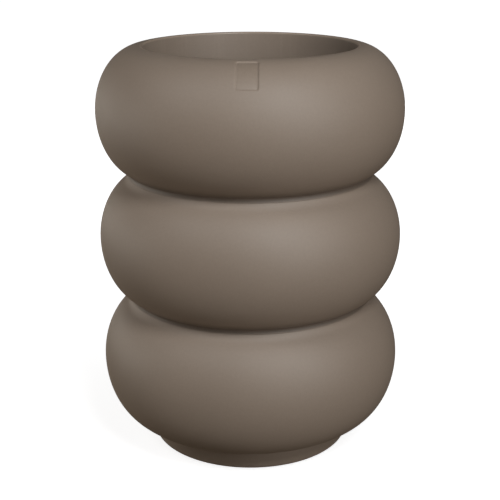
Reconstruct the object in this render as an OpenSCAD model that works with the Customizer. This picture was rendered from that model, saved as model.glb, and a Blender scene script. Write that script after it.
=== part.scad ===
// Tall floor planter: three moulded bulging rings, stacked and bonded at their creases on a round
// foot, with a lift-out planting liner, a soil grid, a screw-in drain plug and rubber pads.
// Millimetres, +Z up. The origin is the middle of the base, on the floor. The badge faces -Y.

/* [Rings] */
// Widest diameter of a ring
ring_d = 390; // [370:1:410]
// Height of one ring
ring_h = 160; // [150:1:170]
// How far a ring bulges out above its widest line
upper_bulge = 58.5; // [56:0.5:60]
// How far a ring bulges out below its widest line
lower_bulge = 53.5; // [50:0.5:56]
// Height between the rounded sides of two rings, if they ran on to their poles
ring_gap = 3; // [2:0.5:5]
// Angle above a ring's widest line at which the valley to the next ring starts
valley_angle = 61; // [58:0.5:66]

/* [Walls and mouth] */
// Thickness of the moulded wall
wall = 5; // [4:0.5:6]
// Diameter of the mouth
mouth_d = 268; // [264:1:272]
// Rounding of the lip
lip_r = 3.5; // [3:0.25:4]
// Depth of the ledge that carries the liner, below the rim
ledge_depth = 62; // [55:1:70]
// Width of that ledge
ledge_w = 9; // [8:0.5:10]
// Thickness of the tongue that locates the ring above
tongue_t = 2.4; // [2:0.1:2.6]

/* [Foot] */
// Height of the foot, from the floor to the lowest ring
foot_h = 34; // [30:1:38]
// Diameter of the foot at its bottom
foot_d = 261; // [256:1:264]
// How much wider the foot is at its top
foot_flare = 2; // [0:0.5:4]
// Rounding of the foot's bottom edge
foot_edge_r = 6; // [4:0.5:8]
// Diameter of a foot pad
pad_d = 24; // [20:1:30]
// Thickness of a foot pad
pad_h = 4; // [3.5:0.5:4.5]
// How far a foot pad stands out of the foot
pad_out = 1.5; // [1:0.25:2]
// Diameter of the circle that the pads stand on
pad_circle_d = 206; // [180:1:214]

/* [Badge] */
// Width of the bare badge under the rim
badge_w = 22; // [18:1:26]
// Height of the badge, along the wall
badge_h = 39; // [32:1:42]
// Thickness of the badge
badge_t = 1.4; // [1:0.1:1.6]
// Rounding of the badge's corners
badge_corner_r = 1.5; // [1:0.5:3]
// How deep the badge's face lies below the wall around it
badge_depth = 1.2; // [0.8:0.1:1.4]
// Width of the sloping border of the recess that the badge lies in
badge_border = 2; // [1:0.5:3]
// Diameter of a badge pin
pin_d = 4; // [3:0.5:5]

/* [Liner] */
// Depth of the liner, under its flange
liner_depth = 250; // [200:5:255]
// Wall of the liner
liner_wall = 2.4; // [2:0.2:3]
// Draft of the liner's side, in degrees
liner_draft = 2; // [1:0.5:3]
// Thickness of the liner's flange
flange_t = 3; // [2.5:0.5:4]
// Diameter of a drain hole in the liner's floor
drain_hole_d = 8; // [6:1:10]

/* [Handles] */
// Width of a lift handle, seen from above
handle_w = 7; // [6:0.5:7.5]
// Thickness of a lift handle
handle_t = 5; // [4:0.5:6]
// Half of the angle that a lift handle spans
handle_half_angle = 51; // [49:1:52]
// Diameter of a handle's pivot
pivot_d = 5; // [4:0.5:5]

/* [Soil grid] */
// Height of the gap under the grid
grid_gap = 14; // [10:1:20]
// Thickness of the grid
grid_t = 3; // [2:0.5:4]
// Diameter of a hole in the grid
grid_hole_d = 7; // [5:1:9]
// Number of rings of holes in the grid
grid_hole_rings = 5; // [3:1:5]

/* [Drain plug] */
// Outside diameter of the plug's shank
plug_d = 24; // [20:1:26]
// Length of the threaded hole in the base
plug_hole_l = 10; // [8:1:14]
// Diameter of the plug's head
plug_head_d = 38; // [34:1:40]
// Thickness of the plug's head
plug_head_t = 5; // [4:0.5:5]

/* [Hidden] */
$fn = 96;

// Angle between two points of a ring's rounded side
side_step = 7.5;
// Angle between two points of a small rounding
edge_step = 30;
// Number of steps along a valley
valley_steps = 8;
// How much later a valley starts on a ring's underside than on a ring's shoulder
valley_lean = 3;
// Gap between two pieces that move apart
clear = 0.3;
// Gap round a tongue, for the bonding paste
bond_gap = 0.1;
// Radial gap of a shaft that turns in its hole
running_gap = 0.06;
// Overlap of a cutter past the face that it cuts
over = 1;

ring_r = ring_d / 2;
upper_pole_r = ring_r - upper_bulge;
lower_pole_r = ring_r - lower_bulge;
ring_pitch = ring_h + ring_gap;
first_ring_z = foot_h + ring_gap + ring_h / 2;
top_ring_z = first_ring_z + 2 * ring_pitch;
rim_z = top_ring_z + ring_h / 2;
mouth_r = mouth_d / 2;
ledge_z = rim_z - ledge_depth;
ledge_in_r = mouth_r - ledge_w;
foot_r = foot_d / 2;
foot_top_r = foot_r + foot_flare / 2;
foot_in_r = foot_top_r - wall;
base_z = pad_out;
floor_z = base_z + wall;
// Angle at which the top ring's side runs into the lip
lip_angle = acos((mouth_r + lip_r - upper_pole_r) / upper_bulge);
// Angle at which the inside of the top ring meets the back of the mouth's wall
collar_angle = acos((mouth_r + wall - upper_pole_r) / (upper_bulge - wall));

// The badge's middle, and the tilt of the wall there
badge_angle = 59;
badge_tilt = 54;
badge_mid_r = upper_pole_r + upper_bulge * cos(badge_angle);
badge_mid_z = top_ring_z + ring_h / 2 * sin(badge_angle);
pin_spread = 13;
pin_l = 12.5;
pin_top_depth = 2;
nut_d = 10;
nut_t = 0.8;
nut_depth = 9.4;

seal_t = 1.2;
seal_gap = 0.1;
head_recess_d = plug_head_d + 6;
head_recess_z = base_z + plug_head_t + seal_t + 2 * seal_gap + 1;
boss_d = plug_d + 10;
plug_top_z = head_recess_z + plug_hole_l;
coin_slot_w = 3;
coin_slot_l = 26;
coin_slot_h = 2;

flange_z = ledge_z + clear;
flange_top_z = flange_z + flange_t;
flange_r = mouth_r - 0.6;
liner_top_r = ledge_in_r - 3;
liner_floor_z = flange_z - liner_depth;

pivot_r = pivot_d / 2;
pivot_z = flange_top_z + 3.3;
handle_mid_r = flange_r - 5;
pivot_x = 73;
lug_t = 5;
lug_y = 103.5;
lug_half_w = 4.5;

grid_z = liner_floor_z + liner_wall + clear + grid_gap;
leg_d = 8;
leg_count = 6;

// Height of the widest line of a ring, counted from the lowest
function ring_z(i) = first_ring_z + i * ring_pitch;

// How far a ring bulges out, and half its height, at a degrees above its widest line. The lowest
// ring has no valley under it, so its lower half runs on down to the foot.
function bulge(a) = a < 0 ? lower_bulge : upper_bulge;
function half_height(i, a) = ring_h / 2 + (i == 0 && a < 0 ? ring_gap : 0);

// One point of a ring's side, set in from the outer face, and how far the side faces up there
function side_point(i, a, inset) =
    [ring_r - bulge(a) + (bulge(a) - inset) * cos(a), ring_z(i) + (half_height(i, a) - inset) * sin(a)];
function side_tilt(i, a, inset) =
    atan2((bulge(a) - inset) * sin(a), (half_height(i, a) - inset) * cos(a));

// A stretch of a ring's side, going up
function side(i, from, to, inset) = concat(
    [side_point(i, from, inset)],
    [for (a = [(floor(from / side_step) + 1) * side_step:side_step:to - side_step / 4])
        side_point(i, a, inset)],
    [side_point(i, to, inset)]);

// One point of the valley between a ring and the one above it. The valley is a rounding that
// leaves both rings' sides without a corner; its share runs from 0 to 1, going up.
function valley_point(i, share, inset) =
    let (from = side_point(i, valley_angle, inset),
         to = side_point(i + 1, -valley_angle - valley_lean, inset),
         from_tilt = side_tilt(i, valley_angle, inset),
         to_tilt = -side_tilt(i + 1, -valley_angle - valley_lean, inset),
         run = ((from[0] - to[0]) * cos(to_tilt) + (to[1] - from[1]) * sin(to_tilt))
               / sin(from_tilt + to_tilt),
         corner = from + run * [-sin(from_tilt), cos(from_tilt)],
         start = (1 - share) * (1 - share),
         pull = 2 * share * (1 - share) * cos((from_tilt + to_tilt) / 2),
         end = share * share)
    (start * from + pull * corner + end * to) / (start + pull + end);
function valley(i, from, to, inset) =
    [for (k = [from:to]) valley_point(i, k / valley_steps, inset)];

// The joint between two rings lies at the valley's middle: its height, its inside radius, and the
// top of the rebate in the ring above
joint_step = valley_steps / 2;
function joint_z(i) = valley_point(i, 0.5, 0)[1];
function joint_in_r(i) = valley_point(i, 0.5, wall)[0];
function joint_top(i) = valley_point(i, (joint_step + 1) / valley_steps, wall)[1];

function backwards(points) = [for (k = [len(points) - 1:-1:0]) points[k]];

// Tongue that stands up from a joint, and the rebate that it fits in the piece above
function tongue(in_r, z, top) =
    [[in_r + tongue_t, z], [in_r + tongue_t, top - bond_gap], [in_r, top - bond_gap]];
function rebate(in_r, z, top) =
    [[in_r + tongue_t + bond_gap, top], [in_r + tongue_t + bond_gap, z]];

// A ring's outside and inside at the joint with the ring above it, from its side to its side
function joint_below(i) = concat(
    valley(i, 1, joint_step, 0), tongue(joint_in_r(i), joint_z(i), joint_top(i)),
    backwards(valley(i, 1, joint_step, wall)));

// The same at the joint with the ring below it: the outside going up, and the inside coming down
function joint_above_outside(i) = valley(i, joint_step, valley_steps - 1, 0);
function joint_above_inside(i) = concat(
    backwards(valley(i, joint_step + 1, valley_steps - 1, wall)),
    rebate(joint_in_r(i), joint_z(i), joint_top(i)));

// Points of a small rounding, from one angle to another
function arc(centre, r, from, to) =
    [for (k = [0:1:abs(to - from) / edge_step])
        let (a = from + sign(to - from) * k * edge_step)
        [centre[0] + r * cos(a), centre[1] + r * sin(a)]];

// Inside radius of the liner at a height
function liner_r(z) = liner_top_r - (flange_z - z) * tan(liner_draft);

// Section of the foot: along its underside, up its outside, over its tongue, down its inside
foot_outline = concat(
    [[0, base_z]],
    arc([foot_r - foot_edge_r, base_z + foot_edge_r], foot_edge_r, -90, 0),
    [[foot_top_r, foot_h]], tongue(foot_in_r, foot_h, foot_h + wall),
    [[foot_r - wall, floor_z], [0, floor_z]]);

// Sections of the rings: up the outside, over the top, down the inside to the rebate
underside_angle = -valley_angle - valley_lean;
lower_outline = concat(
    side(0, -90, valley_angle, 0), joint_below(0),
    backwards(side(0, -90, valley_angle, wall)), rebate(foot_in_r, foot_h, foot_h + wall));
middle_outline = concat(
    joint_above_outside(0), side(1, underside_angle, valley_angle, 0), joint_below(1),
    backwards(side(1, underside_angle, valley_angle, wall)), joint_above_inside(0));
upper_outline = concat(
    joint_above_outside(1), side(2, underside_angle, lip_angle, 0),
    arc([mouth_r + lip_r, rim_z - lip_r], lip_r, 90, 180),
    [[mouth_r, ledge_z], [ledge_in_r, ledge_z],
     [ledge_in_r, ledge_z - wall], [mouth_r + wall, ledge_z - wall]],
    backwards(side(2, underside_angle, collar_angle, wall)), joint_above_inside(1));

// Liner section: up the outside, round the flange, down the inside
liner_outline = [
    [0, liner_floor_z],
    [liner_r(liner_floor_z) + liner_wall, liner_floor_z],
    [liner_top_r + liner_wall, flange_z],
    [flange_r, flange_z],
    [flange_r, flange_top_z],
    [liner_r(flange_top_z), flange_top_z],
    [liner_r(liner_floor_z + liner_wall), liner_floor_z + liner_wall],
    [0, liner_floor_z + liner_wall]];

// Section of a layer of the top ring's shoulder, between two depths below its face
function shoulder_layer(from, to) = concat(
    [for (a = [30:side_step:82.5]) side_point(2, a, from)],
    [for (a = [82.5:-side_step:30]) side_point(2, a, to)]);

// Places its children on the badge's middle, with +Z out of the wall and +Y up the wall
module on_badge() {
    translate([0, -badge_mid_r, badge_mid_z])
        rotate([90 - badge_tilt, 0, 0])
            children();
}

// The two pins' places, one above the other
module at_badge_pins() {
    for (side = [-1, 1])
        on_badge()
            translate([0, side * pin_spread, 0])
                children();
}

// Rectangle with rounded corners, cut out of a layer of the shoulder around the badge's middle
module shoulder_patch(w, h, r, from, to) {
    intersection() {
        rotate_extrude()
            polygon(shoulder_layer(from, to));
        on_badge()
            translate([0, 0, -pin_l])
                linear_extrude(height = 2 * pin_l)
                    union() {
                        square([w - 2 * r, h], center = true);
                        square([w, h - 2 * r], center = true);
                        for (x = [-1, 1], y = [-1, 1])
                            translate([x * (w / 2 - r), y * (h / 2 - r)])
                                circle(r = r);
                    }
    }
}

// Top ring: the rim, the recess for the badge, and a mouth wall that ends in the liner's ledge
module upper_ring() {
    color("#94887a")
        difference() {
            rotate_extrude()
                polygon(upper_outline);
            shoulder_patch(badge_w + badge_border, badge_h + badge_border,
                           badge_corner_r + badge_border / 2, -over, badge_depth);
            shoulder_patch(badge_w + clear, badge_h + clear,
                           badge_corner_r + clear / 2, -over, badge_depth + badge_t);
            at_badge_pins()
                translate([0, 0, -pin_l])
                    cylinder(d = pin_d + clear, h = pin_l);
        }
}

module middle_ring() {
    color("#8f8375")
        rotate_extrude()
            polygon(middle_outline);
}

module lower_ring() {
    color("#94887a")
        rotate_extrude()
            polygon(lower_outline);
}

// Foot with the floor, the drain plug's hub and threaded hole, and the pockets for the pads
module foot_base() {
    color("#8a7e71")
        difference() {
            union() {
                rotate_extrude()
                    polygon(foot_outline);
                translate([0, 0, base_z + wall / 2])
                    cylinder(d = head_recess_d + 2 * wall, h = head_recess_z + wall / 2 - base_z);
                translate([0, 0, head_recess_z])
                    cylinder(d = boss_d, h = plug_hole_l);
            }
            translate([0, 0, base_z - over])
                cylinder(d = head_recess_d, h = head_recess_z - base_z + over);
            cylinder(d = plug_d, h = plug_top_z + over);
            for (a = [0:90:270])
                rotate(a)
                    translate([pad_circle_d / 2, 0, 0])
                        cylinder(d = pad_d, h = pad_h);
        }
}

// Bare plate in its recess, curved like the shoulder, with two pins that start inside the plate
// and go through the wall
module badge_plate() {
    color("#94887a")
        union() {
            shoulder_patch(badge_w, badge_h, badge_corner_r, badge_depth, badge_depth + badge_t);
            difference() {
                at_badge_pins()
                    translate([0, 0, -pin_l])
                        cylinder(d = pin_d, h = pin_l - pin_top_depth);
                shoulder_patch(badge_w, badge_h, badge_corner_r, -over, badge_depth + badge_t / 2);
            }
        }
}

// Two spring-steel nuts pushed onto the badge's pins, inside the wall
module badge_push_nuts() {
    color("silver")
        at_badge_pins()
            translate([0, 0, -nut_depth - nut_t])
                difference() {
                    cylinder(d = nut_d, h = nut_t);
                    translate([0, 0, -over])
                        cylinder(d = pin_d, h = nut_t + 2 * over);
                }
}

// Rubber pad in its pocket under the foot, turned to one of the four sides
module foot_pad(turn) {
    color("#2b2927")
        rotate(turn)
            translate([pad_circle_d / 2, 0, 0])
                cylinder(d = pad_d - 0.2, h = pad_h);
}

// Screw-in plug in the middle of the base, with a coin slot under its head
module drain_plug() {
    head_z = base_z + 1;
    color("#3a3733")
        difference() {
            union() {
                translate([0, 0, head_z])
                    cylinder(d = plug_head_d, h = plug_head_t);
                translate([0, 0, head_z])
                    cylinder(r = plug_d / 2 - running_gap, h = plug_top_z - head_z);
            }
            translate([-coin_slot_l / 2, -coin_slot_w / 2, head_z - over])
                cube([coin_slot_l, coin_slot_w, coin_slot_h + over]);
        }
}

// Flat ring between the plug's head and the base
module plug_seal() {
    color("#1f1e1d")
        translate([0, 0, base_z + 1 + plug_head_t + seal_gap])
            difference() {
                cylinder(d = plug_head_d - 3, h = seal_t);
                translate([0, 0, -over])
                    cylinder(d = plug_d + 0.4, h = seal_t + 2 * over);
            }
}

// One of the liner's four lugs that hold the handles' pivots
module handle_lug() {
    translate([pivot_x, lug_y, 0])
        rotate([-90, 0, 0])
            translate([0, -pivot_z, 0])
                cylinder(r = lug_half_w, h = lug_t);
    translate([pivot_x - lug_half_w, lug_y, flange_top_z - 1])
        cube([2 * lug_half_w, lug_t, pivot_z - flange_top_z + 1]);
}

// Lift-out bucket that hangs on the mouth wall's ledge, with drain holes in its floor
module planting_liner() {
    color("#3a3733")
        difference() {
            union() {
                rotate_extrude()
                    polygon(liner_outline);
                for (x = [0, 1], y = [0, 1])
                    mirror([x, 0, 0])
                        mirror([0, y, 0])
                            handle_lug();
            }
            for (x = [-1, 1], y = [-1, 1])
                translate([x * pivot_x, y * (lug_y + lug_t / 2), pivot_z])
                    rotate([90, 0, 0])
                        cylinder(r = pivot_r + running_gap, h = lug_t + 2 * over, center = true);
            for (ring = [1, 2], k = [0:6 * ring - 1])
                rotate(360 / (6 * ring) * k)
                    translate([ring * 42, 0, liner_floor_z - over])
                        cylinder(d = drain_hole_d, h = liner_wall + 2 * over);
        }
}

// Curved bail that lies on the liner's flange and swings up about its two pivots
module lift_handle() {
    bottom_z = pivot_z - handle_t / 2;
    bar_y = lug_y - clear - handle_t;
    color("#4a4641")
        union() {
            rotate(-handle_half_angle)
                rotate_extrude(angle = 2 * handle_half_angle)
                    translate([handle_mid_r - handle_w / 2, bottom_z])
                        square([handle_w, handle_t]);
            for (side = [0, 1])
                mirror([0, side, 0]) {
                    translate([pivot_x, bar_y, bottom_z])
                        cube([10, handle_t, handle_t]);
                    translate([pivot_x, bar_y, pivot_z])
                        rotate([-90, 0, 0])
                            cylinder(d = handle_t, h = handle_t);
                    translate([pivot_x, bar_y, pivot_z])
                        rotate([-90, 0, 0])
                            cylinder(r = pivot_r, h = handle_t + clear + lug_t);
                }
        }
}

module left_lift_handle() {
    mirror([1, 0, 0])
        lift_handle();
}

module right_lift_handle() {
    lift_handle();
}

// Perforated disc on short legs that keeps the soil off the liner's floor
module soil_grid() {
    grid_r = liner_r(grid_z) - 1;
    hole_pitch = (grid_r - 8) / grid_hole_rings;
    color("#4a4641")
        union() {
            difference() {
                translate([0, 0, grid_z])
                    cylinder(r = grid_r, h = grid_t);
                for (ring = [1:grid_hole_rings], k = [0:6 * ring - 1])
                    rotate(60 / ring * k)
                        translate([ring * hole_pitch, 0, grid_z - over])
                            cylinder(d = grid_hole_d, h = grid_t + 2 * over);
            }
            for (k = [0:leg_count - 1])
                rotate(360 / leg_count * (k + 0.5))
                    translate([(grid_hole_rings - 0.5) * hole_pitch, 0, grid_z - grid_gap])
                        cylinder(d = leg_d, h = grid_gap + grid_t / 2);
        }
}

upper_ring();
middle_ring();
lower_ring();
foot_base();
badge_plate();
badge_push_nuts();
foot_pad(-90);  // foot_pad_front
foot_pad(0);  // foot_pad_right
foot_pad(90);  // foot_pad_back
foot_pad(180);  // foot_pad_left
drain_plug();
plug_seal();
planting_liner();
left_lift_handle();
right_lift_handle();
soil_grid();
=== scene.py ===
"""Looks of a tall floor planter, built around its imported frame. Metres, +Z up, the badge faces -Y."""
import math

import bmesh
import bpy
import numpy as np
from mathutils import Matrix, Vector


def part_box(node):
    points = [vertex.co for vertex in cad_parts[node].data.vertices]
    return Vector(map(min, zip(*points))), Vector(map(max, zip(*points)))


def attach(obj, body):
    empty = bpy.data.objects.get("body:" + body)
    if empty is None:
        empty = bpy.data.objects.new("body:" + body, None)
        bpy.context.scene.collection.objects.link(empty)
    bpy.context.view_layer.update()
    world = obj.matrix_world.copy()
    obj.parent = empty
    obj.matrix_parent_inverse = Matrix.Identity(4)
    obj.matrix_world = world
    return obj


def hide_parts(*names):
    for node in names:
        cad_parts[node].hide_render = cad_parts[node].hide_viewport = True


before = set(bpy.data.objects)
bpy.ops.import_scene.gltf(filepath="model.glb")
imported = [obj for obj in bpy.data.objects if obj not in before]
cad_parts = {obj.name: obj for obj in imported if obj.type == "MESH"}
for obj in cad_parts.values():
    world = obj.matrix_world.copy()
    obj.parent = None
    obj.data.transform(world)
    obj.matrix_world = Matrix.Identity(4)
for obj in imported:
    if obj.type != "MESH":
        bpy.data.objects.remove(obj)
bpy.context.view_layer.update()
MM = 0.001


# Sizes that the frame gives

RING_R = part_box("upper_ring")[1].x
RIM_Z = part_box("upper_ring")[1].z
BASE_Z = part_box("foot_base")[0].z
liner_low, liner_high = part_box("planting_liner")
grid_low, grid_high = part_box("soil_grid")
plug_low, plug_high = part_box("drain_plug")
seal_low, seal_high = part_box("plug_seal")

# Sizes of the shell. Against its solids, the lip's edge is a little tighter, the creases go a little
# further in, and the tongues are thinner to leave a wall outside them

RING_H = 160 * MM
RING_GAP = 3 * MM
UPPER_BULGE = 58.5 * MM
LOWER_BULGE = 53.5 * MM
VALLEY_ANGLE = 61
VALLEY_LEAN = 11
VALLEY_STEPS = 16
WALL = 5 * MM
MOUTH_R = 134 * MM
LIP_R = 2 * MM
LEDGE_DEPTH = 62 * MM
LEDGE_W = 9 * MM
TONGUE_T = 2 * MM
BOND_GAP = 0.1 * MM
FOOT_H = 34 * MM
FOOT_R = 130.5 * MM
FOOT_FLARE = 1 * MM
FOOT_EDGE_R = 6 * MM

UPPER_POLE_R = RING_R - UPPER_BULGE
LOWER_POLE_R = RING_R - LOWER_BULGE
RING_PITCH = RING_H + RING_GAP
FIRST_RING_Z = FOOT_H + RING_GAP + RING_H / 2
LEDGE_Z = RIM_Z - LEDGE_DEPTH
FLOOR_Z = BASE_Z + WALL

# The drain plug and its hole in the base

PLUG_HOLE_R = 12 * MM
THREAD_ROOT_R = 10.9 * MM
THREAD_RISE = 1.04 * MM
HOLE_THREAD_RISE = 0.95 * MM
THREAD_PITCH = 4 * MM
PLUG_HEAD_T = 5 * MM
HEAD_RECESS_R = 22 * MM
HEAD_RECESS_Z = 8.9 * MM
HUB_R = HEAD_RECESS_R + WALL
HUB_Z = HEAD_RECESS_Z + WALL
BOSS_R = 17 * MM
BOSS_Z = HEAD_RECESS_Z + 10 * MM

# The foot pads

PAD_CIRCLE_R = 103 * MM
PAD_POCKET_R = 12 * MM
PAD_H = 4 * MM

# The badge under the rim, and the recess that it lies in

BADGE_ANGLE = math.radians(59)
BADGE_TILT = math.radians(54)
BADGE_W = 22 * MM
BADGE_H = 39 * MM
BADGE_T = 1.2 * MM
BADGE_CORNER_R = 1.5 * MM
BADGE_DEPTH = 1.4 * MM
RECESS_W = 23.9 * MM
RECESS_H = 40.3 * MM
RECESS_SLOPE = 1.8 * MM
PIN_R = 2 * MM
PIN_SPREAD = 13 * MM
PIN_END = 12.5 * MM
NUT_DEPTH = 9.4 * MM

# The liner, its lugs and the handles

LINER_WALL = 2.4 * MM
LINER_SLOPE = math.tan(math.radians(2))
LINER_MOUTH_R = MOUTH_R - LEDGE_W - 3 * MM
FLANGE_Z = LEDGE_Z + 0.3 * MM
FLANGE_T = 3 * MM
BEAD_HEIGHTS = (245 * MM, 285 * MM, 325 * MM, 365 * MM, 405 * MM)
BEAD_RISE = 0.9 * MM
BEAD_W = 6 * MM
DRAIN_RINGS = 2
DRAIN_HOLES = 3 * DRAIN_RINGS * (DRAIN_RINGS + 1)
DRAIN_HOLE_R = 4 * MM
DRAIN_HOLE_PITCH = 42 * MM
PIVOT = (73 * MM, 467.6 * MM)
PIVOT_R = 2.5 * MM
LUG_Y = 103.5 * MM
LUG_T = 5 * MM
LUG_HALF_W = 4.5 * MM
HANDLE_R = 128.4 * MM
GRIP_W = 7 * MM
ARM_W = 5 * MM
HANDLE_T = 5 * MM
HANDLE_ARM_Y = 100.7 * MM

# The grid on the liner's floor

GRID_T = 3 * MM
GRID_RINGS = 5
GRID_HOLES = 3 * GRID_RINGS * (GRID_RINGS + 1)
GRID_BORDER = 8 * MM
GRID_HOLE_R = 3.5 * MM
GRID_LEGS = 6
HOLE_CHAMFER = 0.4 * MM


# Nodes

class Value:
    """A socket's value. Arithmetic on it adds the Math nodes that work it out."""

    def __init__(self, tree, socket):
        self.tree = tree
        self.socket = socket

    def math(self, operation, *others):
        sockets = dict(enumerate((self,) + others))
        return self.tree.add("ShaderNodeMath", {"operation": operation}, sockets)

    def out(self, name):
        return Value(self.tree, self.socket.node.outputs[name])

    def __add__(self, other):
        return self.math("ADD", other)

    def __sub__(self, other):
        return self.math("SUBTRACT", other)

    def __mul__(self, other):
        return self.math("MULTIPLY", other)

    def __truediv__(self, other):
        return self.math("DIVIDE", other)

    def __rsub__(self, other):
        return self.math("MULTIPLY_ADD", -1.0, other)

    def __abs__(self):
        return self.math("ABSOLUTE")

    __radd__ = __add__
    __rmul__ = __mul__


class Tree:
    """Adds nodes to a shader tree or a geometry tree."""

    def __init__(self, nodes):
        self.nodes = nodes

    def add(self, kind, settings=None, sockets=None):
        """A node of that kind, with its settings made first and then its sockets set or linked."""
        node = self.nodes.nodes.new(kind)
        for name, value in (settings or {}).items():
            setattr(node, name, value)
        for key, value in (sockets or {}).items():
            self.put(node.inputs[key] if isinstance(key, int) else self.shown(node.inputs, key), value)
        return Value(self, next((s for s in node.outputs if s.enabled), None))

    @staticmethod
    def shown(sockets, name):
        """The socket of that name that the node shows; some keep others of the same name hidden."""
        return next(s for s in sockets if s.name == name and s.enabled)

    def put(self, socket, value):
        if isinstance(value, Value):
            self.nodes.links.new(value.socket, socket)
        else:
            socket.default_value = value

    def smooth(self, value, low, high):
        """0 below low, 1 above high and a smooth step between; low may be the higher one."""
        return self.add("ShaderNodeMapRange", {"interpolation_type": "SMOOTHSTEP"}, {
            "Value": value, "From Min": low, "From Max": high, "To Min": 0.0, "To Max": 1.0})


# Sections of turned pieces, as points of radius and height

def joined(*runs):
    """Runs of points one after another, each shared end point kept once."""
    made = [np.asarray(runs[0], float)]
    for run in runs[1:]:
        run = np.asarray(run, float)
        shared = np.linalg.norm(run[0] - made[-1][-1]) < 1e-6
        made.append(run[1:] if shared else run)
    return np.concatenate(made)


def ellipse(centre, across, up, start, end, step):
    """Points along an ellipse's arc, from one angle in degrees to another."""
    angles = np.radians(np.linspace(start, end, max(2, round(abs(end - start) / step) + 1)))
    return np.stack([centre[0] + across * np.cos(angles), centre[1] + up * np.sin(angles)], axis=1)


def arc(centre, radius, start, end, step=15):
    return ellipse(centre, radius, radius, start, end, step)


def corners(points, radii, steps=3):
    """A run of straight sides with its inner corners rounded off. The first and last point stay."""
    points = [np.array(p, float) for p in points]
    radii = np.broadcast_to(radii, len(points) - 2)
    run = [points[0]]
    for before, corner, after, radius in zip(points, points[1:], points[2:], radii):
        back, on = before - corner, after - corner
        back_l, on_l = np.linalg.norm(back), np.linalg.norm(on)
        back, on = back / back_l, on / on_l
        turn = math.acos(np.clip(back @ on, -1, 1))
        reach = min(radius / math.tan(turn / 2), 0.45 * back_l, 0.45 * on_l)
        for t in np.linspace(0, 1, steps + 1):
            run.append(corner + back * reach * (1 - t) ** 2 + on * reach * t ** 2)
    return np.array(run + [points[-1]])


def with_ends(points, gap=2 * MM):
    """The same outline with one more point near both ends of each long side, for clean shading."""
    made = [points[0]]
    for a, b in zip(points, points[1:]):
        length = np.linalg.norm(b - a)
        if length > 4 * gap:
            made.append(a + (b - a) * gap / length)
            made.append(b - (b - a) * gap / length)
        made.append(b)
    return np.array(made)


def close_rows(points, radius, step):
    """The same outline with close points along the upright side at a radius, to carry a thread."""
    made = [points[0]]
    for a, b in zip(points, points[1:]):
        if max(abs(a[0] - radius), abs(b[0] - radius)) < 1e-6:
            parts = max(1, round(abs(b[1] - a[1]) / step))
            made += [a + (b - a) * k / parts for k in range(1, parts)]
        made.append(b)
    return np.array(made)


def ring_z(ring):
    return FIRST_RING_Z + ring * RING_PITCH


def bulge(upper):
    return UPPER_BULGE if upper else LOWER_BULGE


def half_height(ring, upper):
    return RING_H / 2 + (RING_GAP if ring == 0 and not upper else 0)


def half_side(ring, start, end, inset=0.0, step=4.0):
    """A ring's side between two angles from its widest line, on one side of that line."""
    upper = start + end > 0
    return ellipse((RING_R - bulge(upper), ring_z(ring)), bulge(upper) - inset,
                   half_height(ring, upper) - inset, start, end, step)


def side(ring, start, end, inset=0.0, step=4.0):
    """A ring's side going up past its widest line."""
    return joined(half_side(ring, start, 0, inset, step), half_side(ring, 0, end, inset, step))


def tilt(ring, angle, inset):
    """How far a ring's side faces up, at an angle from its widest line."""
    upper = angle > 0
    angle = math.radians(angle)
    return math.atan2((bulge(upper) - inset) * math.sin(angle),
                      (half_height(ring, upper) - inset) * math.cos(angle))


UNDERSIDE_ANGLE = -VALLEY_ANGLE - VALLEY_LEAN
JOINT_STEP = VALLEY_STEPS // 2
TONGUE_STEP = JOINT_STEP + VALLEY_STEPS // 8


def valley(ring, inset=0.0):
    """The rounding between a ring and the one above it, going up. The joint is at its middle."""
    start = half_side(ring, 0, VALLEY_ANGLE, inset)[-1]
    end = half_side(ring + 1, UNDERSIDE_ANGLE, 0, inset)[0]
    start_tilt, end_tilt = tilt(ring, VALLEY_ANGLE, inset), -tilt(ring + 1, UNDERSIDE_ANGLE, inset)
    run = ((start[0] - end[0]) * math.cos(end_tilt) + (end[1] - start[1]) * math.sin(end_tilt)) \
        / math.sin(start_tilt + end_tilt)
    corner = start + run * np.array([-math.sin(start_tilt), math.cos(start_tilt)])
    t = np.linspace(0, 1, VALLEY_STEPS + 1)[:, None]
    pull = 2 * t * (1 - t) * math.cos((start_tilt + end_tilt) / 2)
    return ((1 - t) ** 2 * start + pull * corner + t ** 2 * end) / ((1 - t) ** 2 + pull + t ** 2)


def joint(ring):
    """Inside radius, height and top of the tongue-and-rebate joint over a ring."""
    inside = valley(ring, WALL)
    return inside[JOINT_STEP][0], valley(ring)[JOINT_STEP][1], inside[TONGUE_STEP][1]


def below_joint(ring):
    """From a ring's shoulder over its tongue to its inside."""
    outside, inside = valley(ring), valley(ring, WALL)
    in_r, z, top = joint(ring)
    top -= BOND_GAP
    tongue = corners([outside[JOINT_STEP - 1], outside[JOINT_STEP], (in_r + TONGUE_T, z),
                      (in_r + TONGUE_T, top), (in_r, top), inside[JOINT_STEP], inside[JOINT_STEP - 1]],
                     0.35 * MM)
    return joined(outside[:JOINT_STEP], tongue, inside[:JOINT_STEP][::-1])


def above_joint(ring):
    """From the inside of the ring above, down round its rebate, to its underside."""
    outside, inside = valley(ring), valley(ring, WALL)
    in_r, z, top = joint(ring)
    rebate_r = in_r + TONGUE_T + BOND_GAP
    rebate = corners([inside[TONGUE_STEP + 1], inside[TONGUE_STEP], (rebate_r, top), (rebate_r, z),
                      outside[JOINT_STEP], outside[JOINT_STEP + 1]], 0.35 * MM)
    return joined(inside[TONGUE_STEP + 1:][::-1], rebate, outside[JOINT_STEP + 1:])


def straight(radius, low, high):
    """Section of a plain round bar between two heights."""
    return np.array([(0, low), (radius, low), (radius, high), (0, high)])


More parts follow.
